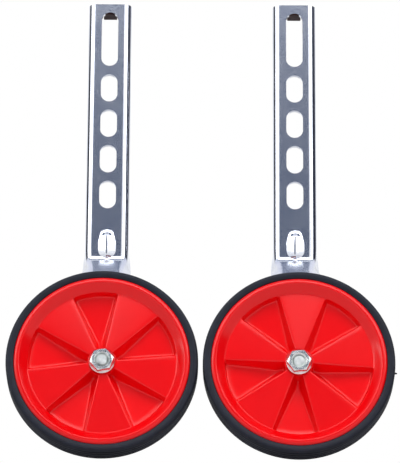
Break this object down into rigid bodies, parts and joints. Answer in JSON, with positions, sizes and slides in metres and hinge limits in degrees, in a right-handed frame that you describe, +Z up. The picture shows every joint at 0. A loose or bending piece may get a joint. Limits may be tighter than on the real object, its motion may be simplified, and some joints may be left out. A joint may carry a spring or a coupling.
{
  "type": "bicycle training wheels",
  "caption": "Pair of bolt-on bicycle stabilisers: slotted steel channel arms that step outward, each with a red fan-web plastic wheel and thin tyre turning on its axle bolt.",
  "frame": {"origin": "on the ground, midway between the two wheels and midway in depth", "axes": "+Z up along the arms, +X across the pair from the left unit to the right one, -Y out of the wheels' outer faces, so +Y points towards the bicycle"},
  "size_m": [0.2428, 0.0918, 0.3405],
  "materials": {
    "zinc_plate": "bright zinc plate on stamped steel",
    "steel": "zinc plate on turned steel",
    "red_plastic": "satin moulded polypropylene",
    "black_tyre": "matt black flexible tyre",
    "nut_plate": "bright zinc plate"
  },
  "bodies": {
    "brackets": {"left_arm": "zinc_plate", "left_axle_bolt": "steel", "left_spring_washer": "steel", "left_inner_washer": "steel", "left_sleeve": "steel", "left_flange_nut": "nut_plate", "right_arm": "zinc_plate", "right_axle_bolt": "steel", "right_spring_washer": "steel", "right_inner_washer": "steel", "right_sleeve": "steel", "right_flange_nut": "nut_plate"},
    "left_wheel": {"left_wheel_hub": "red_plastic", "left_tyre": "black_tyre"},
    "right_wheel": {"right_wheel_hub": "red_plastic", "right_tyre": "black_tyre"}
  },
  "joints": [
    {"name": "left_wheel_turn", "type": "hinge", "parent": "brackets", "child": "left_wheel", "pos_m": [-0.0614, -0.02205, 0.06], "axis": [0, 1, 0], "continuous": true},
    {"name": "right_wheel_turn", "type": "hinge", "parent": "brackets", "child": "right_wheel", "pos_m": [0.0614, -0.02205, 0.06], "axis": [0, 1, 0], "continuous": true}
  ]
}
